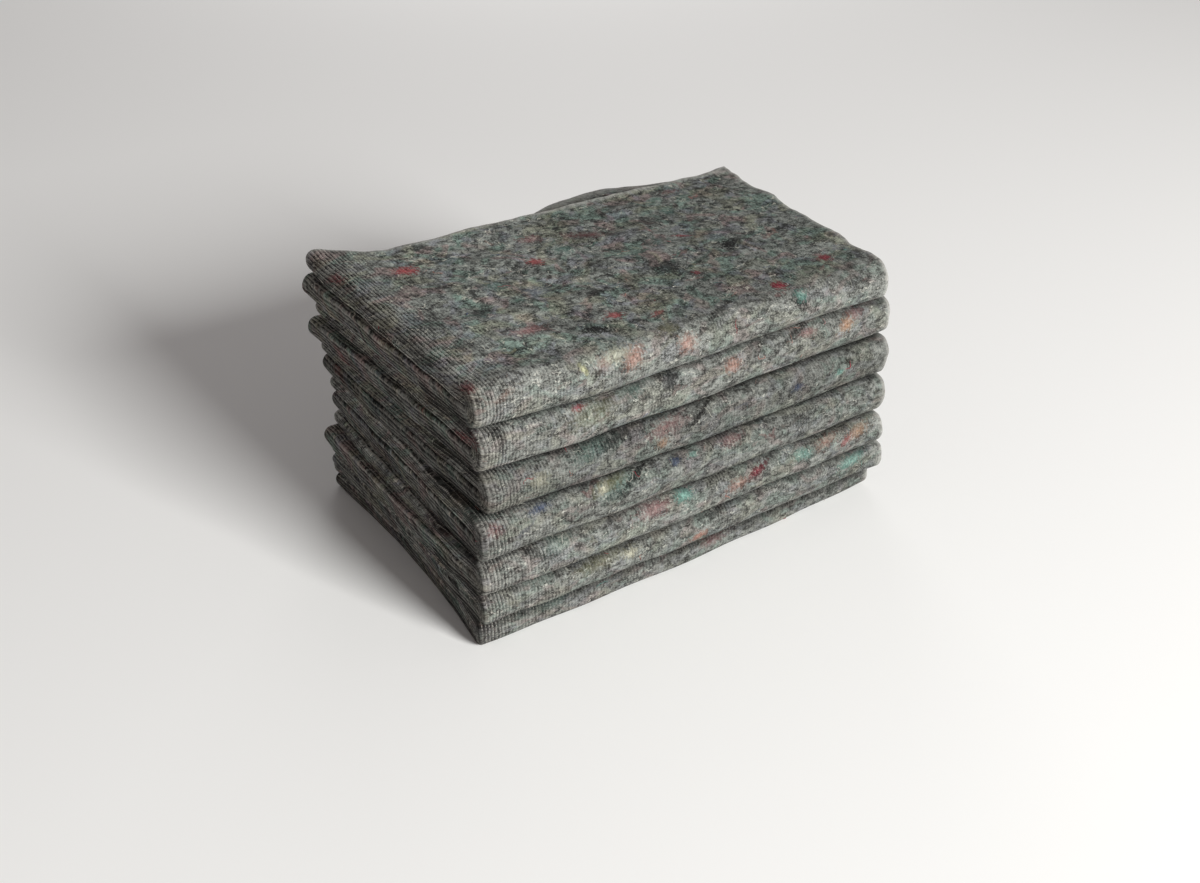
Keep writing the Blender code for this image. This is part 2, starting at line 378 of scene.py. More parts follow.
def makeBlanket(index):
    blanket = blankets[index]
    top = index == topBlanket
    thickness = folding["fill"] * layerPitch(blanket)
    sideCounts = mesh["topSideCounts" if top else "sideCounts"]
    lengthCounts = mesh["topLengthCounts" if top else "lengthCounts"]
    sides, sideFull = foldLines(mesh["sideMarks"], sideCounts, thickness / 2 / folding["width"])
    lengths, lengthFull = foldLines(mesh["lengthMarks"], lengthCounts, thickness / 2 / folding["lowerRun"])
    side, length = np.meshgrid(sides, lengths)
    full = np.minimum(*np.meshgrid(sideFull, lengthFull))
    x, y, z = foldBlanket(index, side, length)
    points = np.stack([x, y, z], -1)

    # where each point lies on the flat sheet, in metres
    lowerRun = points[np.argmin(np.abs(lengths - 4.5))]
    sideways = np.linalg.norm(np.diff(lowerRun, axis=0), axis=1)
    across = np.append(0, np.cumsum(sideways))
    across = np.tile(across - across[np.argmin(np.abs(sides))], (len(lengths), 1))
    steps = np.linalg.norm(np.diff(points, axis=0), axis=2)
    along = np.concatenate([np.zeros((1, len(sides))), np.cumsum(steps, axis=0)])
    frontMiddle = np.argmin(np.abs(lengths - outerNose))
    along = along - along[frontMiddle]

    grid = bmesh.new()
    bmesh.ops.create_grid(grid, x_segments=len(sides) - 1, y_segments=len(lengths) - 1, size=0.5)
    felt = bpy.data.meshes.new(blanket["node"] + "_felt")
    grid.to_mesh(felt)
    grid.free()
    flat = np.zeros(len(felt.vertices) * 3)
    felt.vertices.foreach_get("co", flat)
    flat = flat.reshape(-1, 3)
    column = np.rint((flat[:, 0] + 0.5) * (len(sides) - 1)).astype(int)
    line = np.rint((flat[:, 1] + 0.5) * (len(lengths) - 1)).astype(int)
    felt.vertices.foreach_set("co", points[line, column].ravel())
    corner = np.zeros(len(felt.loops), int)
    felt.loops.foreach_get("vertex_index", corner)
    sheet = felt.uv_layers.new(name="sheet")
    places = np.stack([across[line, column], along[line, column]], -1)
    sheet.data.foreach_set("uv", places[corner].ravel())
    for name, values in clothWearAndShade(index, side, length, x, y, z).items():
        layer = felt.attributes.new(name, "FLOAT", "POINT")
        layer.data.foreach_set("value", values[line, column].ravel())
    felt.shade_smooth()

    piece = addObject(blanket["node"] + "_cloth", felt)
    group = piece.vertex_groups.new(name="thickness")
    shares = full[line, column]
    for share in np.unique(shares):
        group.add(np.flatnonzero(shares == share).tolist(), float(share), "REPLACE")
    thick = piece.modifiers.new("felt thickness", "SOLIDIFY")
    thick.thickness = thickness
    thick.offset = 0
    thick.vertex_group = "thickness"
    outside = (side > -1) & (length > 4)
    return piece, points[outside], np.stack([across, along], -1)[outside]


def feed(socket, value):
    # a socket takes another node's output or a plain value
    if isinstance(value, bpy.types.NodeSocket):
        socket.id_data.links.new(value, socket)
    else:
        socket.default_value = value


def addNode(kind, inputs, tree=None, **settings):
    # goes in the tree of the nodes that feed it, or in the one that is named
    for value in inputs.values():
        if isinstance(value, bpy.types.NodeSocket):
            tree = value.id_data
    node = tree.nodes.new("ShaderNode" + kind)
    for name, value in settings.items():
        setattr(node, name, value)
    for name, value in inputs.items():
        feed(node.inputs[name], value)
    return node


def maths(operation, first, second=0.0, third=0.0, clamp=False):
    return addNode("Math", {0: first, 1: second, 2: third}, operation=operation, use_clamp=clamp).outputs[0]


def times(first, second):
    return maths("MULTIPLY", first, second)


def timesPlus(first, second, third):
    return maths("MULTIPLY_ADD", first, second, third)


def vectorMaths(operation, first, second):
    return addNode("VectorMath", {0: first, 1: second}, operation=operation).outputs[0]


def scaled(vector, amount):
    return addNode("VectorMath", {0: vector, "Scale": amount}, operation="SCALE").outputs[0]


def joinXY(x, y):
    return addNode("CombineXYZ", {0: x, 1: y}).outputs[0]


def splitXYZ(vector):
    return addNode("SeparateXYZ", {0: vector}).outputs


def turned(vector, angle):
    # x, y and z after a turn round z
    turn = addNode("VectorRotate", {"Vector": vector, "Angle": angle}, rotation_type="Z_AXIS")
    return splitXYZ(turn.outputs[0])


def ease(value, fromMin, fromMax, toMin=0.0, toMax=1.0):
    inputs = {"Value": value, "From Min": fromMin, "From Max": fromMax, "To Min": toMin, "To Max": toMax}
    return addNode("MapRange", inputs, interpolation_type="SMOOTHSTEP").outputs[0]


def mixColour(share, first, second):
    return addNode("Mix", {0: share, 6: first, 7: second}, data_type="RGBA").outputs[2]


def noise(place, scale, detail, roughness=0.5, distortion=0.0, dimensions="2D"):
    inputs = {"Vector": place, "Scale": scale, "Detail": detail, "Roughness": roughness}
    inputs["Distortion"] = distortion
    return addNode("TexNoise", inputs, noise_dimensions=dimensions).outputs


def patches(place, pattern, levels):
    # smooth patches where noise of this pattern lies between two levels
    return ease(noise(place, *pattern)["Fac"], *levels)


def onMesh(tree, name):
    # a value that the mesh carries at its points
    return addNode("Attribute", {}, tree, attribute_name=name, attribute_type="GEOMETRY").outputs["Fac"]


def newGroup(name, inputs, outputs):
    # an input with no starting value is a vector
    tree = bpy.data.node_groups.new(name, "ShaderNodeTree")
    for label, value in inputs.items():
        kind = "Vector" if value is None else "Float"
        socket = tree.interface.new_socket(label, in_out="INPUT", socket_type="NodeSocket" + kind)
        if value is not None:
            socket.default_value = value
    for label, kind in outputs.items():
        tree.interface.new_socket(label, in_out="OUTPUT", socket_type="NodeSocket" + kind)
    return tree, tree.nodes.new("NodeGroupInput").outputs, tree.nodes.new("NodeGroupOutput").inputs


def placeGroup(group, inputs):
    return addNode("Group", inputs, node_tree=group).outputs


def newMaterial(name, finish):
    # finish: values of the shader's own sockets
    material = bpy.data.materials.new(name)
    material.use_nodes = True
    shader = material.node_tree.nodes["Principled BSDF"].inputs
    for label, value in finish.items():
        shader[label].default_value = value
    return material, material.node_tree, shader


strandShape = {
    "bend": (1.6, 2.0, 0.6),  # scale, detail and roughness of the noise that bends it
    "curl": 1.2,
    "ragged": (9.0, 2.0),
    "seedSlope": 1.7,
    "secondDraw": 41.0,  # makes a second random number out of the first
    "edgeFrom": 0.35,  # where its sides and its ends begin to fade, as shares of its width and length
    "endFrom": 0.75,
}


def makeStrandsGroup():
    # short strands of fibre that lie every way, one to a cell
    tree, given, result = newGroup(
        "strands",
        {"Place": None, "Seed": 0.0, "Size": 0.02, "Length": 0.45, "Width": 0.05, "Turn": 1.0, "Share": 0.6,
         "Waviness": 0.3, "Ragged": 0.0},
        {"Mask": "Float", "Pick": "Float"},
    )
    place = scaled(given["Place"], maths("DIVIDE", 1.0, given["Size"]))
    shift = joinXY(given["Seed"], times(given["Seed"], strandShape["seedSlope"]))
    place = vectorMaths("ADD", place, shift)
    bend = noise(place, *strandShape["bend"])["Color"]
    bend = vectorMaths("SUBTRACT", bend, (0.5, 0.5, 0.5))
    place = vectorMaths("ADD", place, scaled(bend, given["Waviness"]))
    cells = addNode("TexVoronoi", {"Vector": place, "Scale": 1.0}, voronoi_dimensions="2D").outputs
    local = vectorMaths("SUBTRACT", place, cells["Position"])
    turnDraw, thereDraw, curlDraw = addNode("SeparateColor", {0: cells["Color"]}).outputs
    angle = times(timesPlus(turnDraw, 2.0, -1.0), given["Turn"])
    lengthwise, sideways, _ = turned(local, angle)
    lengthwise = maths("ABSOLUTE", lengthwise)
    curl = timesPlus(curlDraw, 2 * strandShape["curl"], -strandShape["curl"])
    curl = times(times(lengthwise, lengthwise), curl)
    sideways = maths("ABSOLUTE", maths("ADD", sideways, curl))
    rough = noise(place, *strandShape["ragged"])["Fac"]
    rough = maths("SUBTRACT", rough, 0.5)
    sideways = timesPlus(rough, given["Ragged"], sideways)
    edgeFrom = times(given["Width"], strandShape["edgeFrom"])
    body = ease(sideways, edgeFrom, given["Width"], 1.0, 0.0)
    endFrom = times(given["Length"], strandShape["endFrom"])
    ends = ease(lengthwise, endFrom, given["Length"], 1.0, 0.0)
    there = maths("LESS_THAN", thereDraw, given["Share"])
    feed(result["Mask"], times(times(body, ends), there))
    feed(result["Pick"], maths("FRACT", times(thereDraw, strandShape["secondDraw"])))
    return tree


stitching = {
    "rowSpacing": 0.0055,
    "stitchLength": 0.0042,
    # the rest in shares of those two
    "wander": 0.25,
    "wanderNoise": (40.0, 1.0),
    "grooveEdge": (0.06, 0.26),
    "threadPlace": 0.36,
    "threadEdge": (0.06, 0.17),
    "stitchShift": 0.37,  # from each row to the next
    "stitchEdge": (0.22, 0.42),
}


def makeRowsGroup():
    # close rows of chain stitches that run along the sheet
    tree, given, result = newGroup(
        "stitch rows",
        {"Place": None, "Row Spacing": stitching["rowSpacing"], "Stitch Length": stitching["stitchLength"]},
        {"Groove": "Float", "Thread": "Float"},
    )

    def band(value, edge):
        # 1 halfway between whole numbers, 0 beyond the edge
        offset = maths("ABSOLUTE", maths("SUBTRACT", maths("FRACT", value), 0.5))
        return ease(offset, *edge, 1.0, 0.0)

    wander = noise(given["Place"], *stitching["wanderNoise"])["Fac"]
    across, along, _ = splitXYZ(given["Place"])
    rows = maths("DIVIDE", across, given["Row Spacing"])
    rows = maths("ADD", rows, timesPlus(wander, 2 * stitching["wander"], -stitching["wander"]))
    groove = band(rows, stitching["grooveEdge"])
    odd = times(maths("FLOOR", rows), stitching["stitchShift"])
    stitch = maths("ADD", maths("DIVIDE", along, given["Stitch Length"]), odd)
    dash = band(stitch, stitching["stitchEdge"])
    thread = band(maths("ADD", rows, stitching["threadPlace"]), stitching["threadEdge"])
    feed(result["Groove"], groove)
    feed(result["Thread"], times(thread, dash))
    return tree


def makePalette(pick, colours):
    ramp = addNode("ValToRGB", {"Fac": pick})
    ramp.color_ramp.interpolation = "CONSTANT"
    points = ramp.color_ramp.elements
    start = 0.0
    for number, (share, colour) in enumerate(colours):
        point = points[number] if number < 2 else points.new(start)
        point.position = start
        point.color = (*colour, 1.0)
        start += share
    return ramp.outputs["Color"]


# shares of each fibre colour
fineColours = [
    (0.25, (0.120, 0.122, 0.113)),
    (0.25, (0.230, 0.230, 0.205)),
    (0.42, (0.016, 0.016, 0.016)),
    (0.04, (0.090, 0.104, 0.094)),
    (0.04, (0.115, 0.096, 0.092)),
]
clumpColours = [
    (0.17, (0.160, 0.048, 0.048)),
    (0.26, (0.062, 0.114, 0.094)),
    (0.27, (0.018, 0.018, 0.018)),
    (0.08, (0.170, 0.108, 0.092)),
    (0.14, (0.200, 0.202, 0.170)),
    (0.08, (0.075, 0.085, 0.112)),
]
patchColours = [
    (0.42, (0.020, 0.021, 0.020)),
    (0.27, (0.200, 0.202, 0.178)),
    (0.06, (0.125, 0.062, 0.060)),
    (0.12, (0.066, 0.106, 0.090)),
    (0.04, (0.145, 0.108, 0.092)),
    (0.09, (0.112, 0.112, 0.072)),
]
threadColours = [(0.60, (0.38, 0.375, 0.32)), (0.40, (0.012, 0.012, 0.012))]
paleSpecks = [(1.0, (0.50, 0.49, 0.42))]
darkSpecks = [(1.0, (0.016, 0.016, 0.016))]

web = {
    "grey": (0.122, 0.131, 0.121),
    "streaks": (1.1, 1.0, 1.0),
    # noise scale and how much lighter or darker it makes the felt
    "broad": (24.0, 2.3),
    "middle": (95.0, 3.8),
    "fine": (420.0, 3.3),
    "mottle": (3.5, 0.68, 0.25),  # detail, roughness and distortion of all three
    "tone": (0.10, 2.0),  # darkest and lightest
    "height": (0.8, 0.45),  # of the middle and the fine one
    "tintNoise": (1.6, 0.5, 0.6),
    "tintEdge": 0.14,
    "tintShift": (3.1, 1.7),  # so that each colour gathers elsewhere
    "strandSeeds": (3.0, 5.3),
    "tints": [
        # where each colour of fibre has gathered: scale, least noise, share, colour
        (22.0, 0.49, 0.50, (0.064, 0.118, 0.094)),
        (24.0, 0.54, 0.42, (0.150, 0.078, 0.078)),
        (18.0, 0.52, 0.50, (0.126, 0.128, 0.088)),
        (30.0, 0.54, 0.42, (0.098, 0.100, 0.126)),
    ],
    "strandInputs": ("Size", "Length", "Width", "Turn", "Share", "Waviness", "Ragged"),
    "strands": [
        # the inputs above, then how strong, and the colours
        (0.095, 0.17, 0.055, 0.60, 0.40, 0.60, 0.25, 0.55, clumpColours),
        (0.036, 0.27, 0.120, 0.90, 0.36, 0.80, 0.40, 0.55, patchColours),
        (0.019, 0.30, 0.120, 1.30, 0.42, 0.80, 0.35, 0.45, patchColours),
        (0.011, 0.38, 0.095, 1.57, 0.55, 0.60, 0.10, 0.45, fineColours),
        (0.0068, 0.46, 0.110, 1.57, 0.60, 0.50, 0.0, 0.35, fineColours),
        (0.044, 0.19, 0.110, 1.57, 0.22, 1.00, 0.40, 0.80, darkSpecks),
        (0.022, 0.20, 0.130, 1.57, 0.48, 0.90, 0.30, 0.80, darkSpecks),
        (0.013, 0.19, 0.120, 1.57, 0.48, 0.80, 0.25, 0.76, darkSpecks),
        (0.030, 0.40, 0.035, 1.57, 0.40, 1.20, 0.08, 0.60, threadColours),
        (0.017, 0.22, 0.080, 1.57, 0.24, 0.90, 0.20, 0.55, paleSpecks),
    ],
}


def makeWebGroup(strands):
    # mixed recycled fibres: mottled ground, strands at several sizes and clumps of one colour
    tree, given, result = newGroup(
        "recycled web",
        {"Place": None, "Seed": 0.0},
        {"Colour": "Color", "Height": "Float"},
    )
    place = vectorMaths("ADD", given["Place"], joinXY(given["Seed"], given["Seed"]))
    streaked = vectorMaths("MULTIPLY", place, web["streaks"])

    def mottle(where, kind):
        scale, gain = web[kind]
        level = noise(where, scale, *web["mottle"])["Fac"]
        return level, times(maths("SUBTRACT", level, 0.5), gain)

    broad = mottle(streaked, "broad")[1]
    middleLevel, middle = mottle(streaked, "middle")
    fineLevel, fine = mottle(place, "fine")
    darkest, lightest = web["tone"]
    tone = maths("ADD", maths("ADD", broad, middle), maths("ADD", fine, 1.0))
    tone = maths("MINIMUM", maths("MAXIMUM", tone, darkest), lightest)
    colour = addNode("RGB", {}, tree).outputs[0]
    colour.default_value = (*web["grey"], 1)
    shiftX, shiftY = web["tintShift"]
    for number, (scale, least, share, tint) in enumerate(web["tints"]):
        where = vectorMaths("ADD", streaked, (shiftX * number, shiftY, 0))
        pattern, levels = (scale, *web["tintNoise"]), (least, least + web["tintEdge"], 0.0, share)
        gathered = patches(where, pattern, levels)
        colour = mixColour(gathered, colour, (*tint, 1))
    colour = scaled(colour, tone)
    middleHeight, fineHeight = web["height"]
    height = timesPlus(middleLevel, middleHeight, times(fineLevel, fineHeight))

    seedTimes, seedStep = web["strandSeeds"]
    for number, (*values, strength, palette) in enumerate(web["strands"]):
        seed = timesPlus(given["Seed"], seedTimes, seedStep * number)
        inputs = {"Place": given["Place"], "Seed": seed, **dict(zip(web["strandInputs"], values))}
        strand = placeGroup(strands, inputs)
        shade = makePalette(strand["Pick"], palette) if len(palette) > 1 else (*palette[0][1], 1)
        colour = mixColour(times(strand["Mask"], strength), colour, shade)
    feed(result["Colour"], colour)
    feed(result["Height"], height)
    return tree


clumpEdge = (0.22, 0.60)  # where a clump begins to fade and ends, as shares of its length and width


def makeClumpGroup():
    # one ragged clump of fibre of a single colour
    tree, given, result = newGroup(
        "clump",
        {"Place": None, "Ragged": 0.0, "Middle": None, "Turn": 0.0, "Length": 0.03, "Width": 0.01},
        {"Mask": "Float"},
    )
    local = vectorMaths("SUBTRACT", given["Place"], given["Middle"])
    lengthwise, sideways, _ = turned(local, times(given["Turn"], -1.0))
    lengthwise = maths("DIVIDE", lengthwise, given["Length"])
    sideways = maths("DIVIDE", sideways, given["Width"])
    reach = maths("ADD", times(lengthwise, lengthwise), times(sideways, sideways))
    reach = maths("ADD", maths("SQRT", reach), given["Ragged"])
    feed(result["Mask"], ease(reach, *clumpEdge, 1.0, 0.0))
    return tree


clumpShades = {
    "red": (0.240, 0.052, 0.054),
    "crimson": (0.210, 0.022, 0.038),
    "dark red": (0.160, 0.022, 0.028),
    "maroon": (0.105, 0.040, 0.040),
    "pink": (0.240, 0.110, 0.110),
    "salmon": (0.300, 0.165, 0.130),
    "orange": (0.310, 0.180, 0.110),
    "yellow": (0.360, 0.360, 0.200),
    "cream": (0.400, 0.390, 0.300),
    "olive": (0.130, 0.125, 0.062),
    "teal": (0.072, 0.145, 0.122),
    "aqua": (0.150, 0.280, 0.240),
    "blue": (0.048, 0.068, 0.118),
    "slate": (0.105, 0.120, 0.150),
    "black": (0.010, 0.010, 0.010),
}

# the clumps that catch the eye: x, y and z of the middle, length and width, all in millimetres, turn in
# degrees, how strong, and the colour
eyeCatchers = {
    "blanket_7": [
        (-280, 130, 435, 37, 27, -15, 0.95, "red"),
        (-95, 60, 435, 27, 24, -10, 0.85, "red"),
        (-220, -130, 435, 54, 21, 0, 0.60, "pink"),
        (-95, -155, 435, 26, 21, -10, 0.85, "red"),
        (-40, -180, 435, 26, 11, 10, 0.65, "dark red"),
        (170, -205, 435, 26, 24, -5, 0.95, "crimson"),
        (300, -165, 435, 24, 24, 30, 0.80, "crimson"),
        (200, -45, 435, 31, 29, 0, 1.00, "black"),
        (65, -70, 435, 48, 34, 10, 0.65, "black"),
        (-145, -185, 435, 51, 17, -30, 1.00, "black"),
        (182, -275, 435, 20, 30, 70, 0.95, "black"),
        (90, -105, 435, 14, 14, 0, 0.75, "dark red"),
        (160, 20, 435, 36, 8, -30, 0.80, "dark red"),
        (30, 100, 435, 76, 22, -30, 0.60, "maroon"),
        (-55, 135, 435, 39, 26, -20, 0.50, "pink"),
        (255, 180, 435, 34, 19, 0, 0.50, "pink"),
        (200, 115, 435, 27, 32, -10, 0.60, "teal"),
        (110, 20, 435, 37, 29, -20, 0.45, "teal"),
        (-35, 75, 435, 39, 29, -25, 0.50, "teal"),
        (-190, 10, 435, 37, 29, -20, 0.55, "teal"),
        (188, -252, 435, 24, 18, 0, 0.65, "aqua"),
        (-145, -30, 435, 44, 35, -20, 0.55, "slate"),
        (-70, -35, 435, 31, 22, -30, 0.45, "cream"),
        (-50, -220, 435, 34, 22, 0, 0.50, "olive"),
        (-255, -50, 435, 38, 29, -20, 0.70, "black"),
        (-385, 145, 430, 22, 19, 80, 0.60, "dark red"),
        (-122, -265, 411, 38, 26, 30, 0.60, "salmon"),
        (-155, -262, 425, 56, 20, 10, 0.45, "cream"),
        (-28, -265, 405, 32, 23, 0, 0.55, "salmon"),
        (-205, -265, 415, 20, 8, -50, 0.65, "yellow"),
        (-175, -265, 415, 26, 20, 0, 0.30, "pink"),
        (-330, -270, 420, 38, 9, 20, 0.20, "salmon"),
        (-375, 165, 420, 26, 22, 0, 0.55, "dark red"),
        (-375, -220, 425, 26, 20, 80, 0.60, "dark red"),
        (-375, 70, 395, 20, 14, 90, 0.50, "maroon"),
        (-375, -10, 390, 60, 16, 90, 0.45, "maroon"),
        (-186, -262, 398, 20, 13, 0, 0.70, "black"),
        (45, -220, 434, 91, 13, 25, 0.70, "black"),
        (-75, -85, 434, 30, 18, 0, 0.95, "black"),
        (150, 95, 434, 50, 34, 0, 0.60, "black"),
        (75, -55, 434, 78, 44, 20, 0.50, "black"),
    ],
    "blanket_6": [
        (-380, -212, 340, 44, 36, 90, 0.60, "dark red"),
        (-210, -260, 375, 22, 9, 10, 0.65, "crimson"),
        (52, -260, 340, 29, 20, 0, 0.65, "salmon"),
        (-115, -260, 365, 29, 17, 0, 0.40, "teal"),
        (285, -250, 343, 30, 20, 20, 0.70, "orange"),
        (205, -255, 355, 35, 14, 0, 0.45, "pink"),
        (305, -250, 365, 35, 17, 0, 0.40, "pink"),
        (-190, -260, 340, 87, 32, 10, 0.30, "olive"),
        (-380, -110, 350, 80, 24, 90, 0.35, "olive"),
        (-380, 30, 350, 70, 22, 90, 0.35, "maroon"),
        (-380, 140, 310, 30, 24, 90, 0.50, "dark red"),
        (-345, -262, 372, 22, 12, -20, 0.80, "black"),
        (-60, -262, 370, 41, 32, 60, 0.75, "black"),
        (185, -255, 375, 72, 10, 20, 0.70, "black"),
    ],
    "blanket_5": [
        (-195, -260, 285, 75, 26, 10, 0.40, "teal"),
        (-285, -260, 270, 35, 23, 0, 0.50, "cream"),
        (265, -255, 265, 18, 10, 0, 0.85, "aqua"),
        (-80, -260, 255, 20, 17, 0, 0.50, "orange"),
        (-70, -260, 280, 67, 20, 10, 0.40, "pink"),
        (180, -260, 265, 24, 12, 0, 0.55, "blue"),
        (-375, 190, 250, 28, 20, 90, 0.50, "dark red"),
        (-375, -20, 300, 40, 20, 90, 0.35, "teal"),
        (-370, -120, 270, 60, 22, 90, 0.35, "maroon"),
        (4, -262, 296, 96, 7, 32, 0.85, "black"),
        (-150, -262, 300, 72, 20, 10, 0.65, "black"),
    ],
    "blanket_4": [
        (-285, -270, 235, 34, 10, 5, 0.65, "blue"),
        (-55, -270, 225, 18, 12, 0, 0.70, "blue"),
        (-360, -270, 220, 24, 18, 0, 0.45, "pink"),
        (-155, -270, 220, 72, 26, 10, 0.30, "teal"),
        (-20, -270, 235, 20, 8, 0, 0.60, "aqua"),
        (-165, -265, 230, 60, 20, 15, 0.50, "olive"),
        (-184, -265, 217, 20, 14, 30, 0.70, "cream"),
        (50, -265, 225, 44, 17, 0, 0.40, "pink"),
        (-380, -55, 205, 90, 26, 90, 0.40, "maroon"),
        (-380, 80, 200, 60, 20, 90, 0.30, "teal"),
        (-120, -265, 225, 60, 12, 25, 0.80, "black"),
        (185, -262, 210, 48, 18, 0, 0.65, "black"),
    ],
    "blanket_3": [
        (315, -265, 145, 49, 20, 10, 0.45, "orange"),
        (-260, -270, 155, 58, 23, 10, 0.30, "teal"),
        (-90, -270, 150, 72, 23, 5, 0.40, "pink"),
        (-37, -268, 154, 34, 18, 0, 0.85, "aqua"),
        (108, -268, 146, 40, 13, 15, 0.75, "crimson"),
        (62, -268, 134, 44, 17, 10, 0.50, "salmon"),
        (203, -266, 142, 40, 18, 0, 0.55, "aqua"),
        (250, -266, 150, 46, 17, 15, 0.45, "salmon"),
        (291, -264, 136, 28, 14, 20, 0.55, "red"),
        (-380, -130, 150, 50, 24, 90, 0.40, "maroon"),
        (-380, 60, 140, 60, 22, 90, 0.30, "olive"),
        (-305, -265, 160, 48, 12, -30, 0.70, "black"),
        (120, -265, 150, 72, 15, 20, 0.55, "black"),
    ],
    "blanket_2": [
        (308, -262, 88, 54, 18, 10, 0.70, "aqua"),
        (-6, -268, 64, 32, 15, 10, 0.85, "salmon"),
        (-132, -268, 86, 28, 15, 0, 0.65, "cream"),
        (-190, -270, 95, 87, 26, 5, 0.35, "olive"),
        (-380, -140, 100, 40, 20, 90, 0.40, "dark red"),
        (-385, 185, 100, 40, 20, 90, 0.35, "maroon"),
        (35, -265, 100, 60, 12, 15, 0.65, "black"),
    ],
    "blanket_1": [
        (-260, -250, 40, 64, 20, 5, 0.30, "teal"),
        (40, -250, 30, 52, 17, 5, 0.40, "pink"),
        (-375, -100, 30, 60, 18, 90, 0.35, "maroon"),
    ],
}


feltFinish = {
    "shader": {
        "Roughness": 0.95,
        "Specular IOR Level": 0.05,
        "Sheen Weight": 0.02,
        "Sheen Roughness": 0.5,
    },
    # how finely the fibres' pattern repeats across and along the cloth, and how much more at the front
    "lieAcross": 0.80,
    "lieAlong": 0.92,
    "lieFront": (0.045, 0.55),
    # from and to, in metres across or along the cloth, and the strength at each
    "front": (0.03, 0.07, 0.50, 0.0),
    "frontPlain": (0.80, 0.0245),  # how much of its grey is kept, and what is added
    # painted light: the front lighter and creamier
    "frontPaintedLight": (1.12, 1.125, 1.04),
    "left": (0.01, 0.04, 1.0, 0.0),
    # painted shade colour: the left side warmer
    "leftShadeTint": (1.06, 1.0, 1.0),
    "top": (0.03, 0.10),
    # painted light: the top is lighter to the left, darker by its left edge and lighter by its front left
    # corner
    "topEdgeShade": (0.02, 0.09, 0.87, 1.0),
    "topLightFalloff": (0.15, 0.60, 1.34, 1.04),
    "cornerLight": [(0.01, 0.05), (0.05, 0.16, 0.30, 0.0)],
    "cornerAcross": (0.10, 0.42, 1.0, 0.0),
    "lightOffTop": (0.37, 0.53),  # how much of the painted light goes on off the top, and the steady light there
    # noise: scale, detail, roughness and distortion, then the levels it is cut at, and the strength at each
    "raggedNoise": (170.0, 5.0, 0.78),
    "raggedReach": (2.6, -1.35),  # how far it frays the clumps: times this, plus this
    "uneven": (0.40, 0.62, 0.45, 1.45),  # the same noise as light and dark
    "smudges": [(34.0, 4.0, 0.7, 0.8), (0.53, 0.64, 0.0, 0.52)],
    "smudgeColour": (0.018, 0.019, 0.018),
    "hereAndThere": [(12.0, 3.0), (0.45, 0.75, 0.02, 0.20)],
    "worn": [(130.0, 2.0), (0.34, 0.60, 0.35, 1.0)],
    # pale fringe of cut fibres, partly a painted highlight
    "frayedAndHighlight": (0.35, 1.0, 0.45, 0.80),
    "frayedHighlightColour": (0.33, 0.328, 0.305),
    # painted shade in the stitch grooves
    "groove": 0.88,
    "grooveShadeColour": (0.015, 0.013, 0.012),
    "thread": 0.85,
    "threadColour": (0.330, 0.312, 0.285),
    "rubbed": 0.75,
    # how dark the painted shade is, where blankets press together and under an overhang
    "pressed": 0.72,
    "bump": 0.9,
    "bumpHeight": 0.0012,
    "grooveDepth": -0.9,
    "threadHeight": 0.4,
}


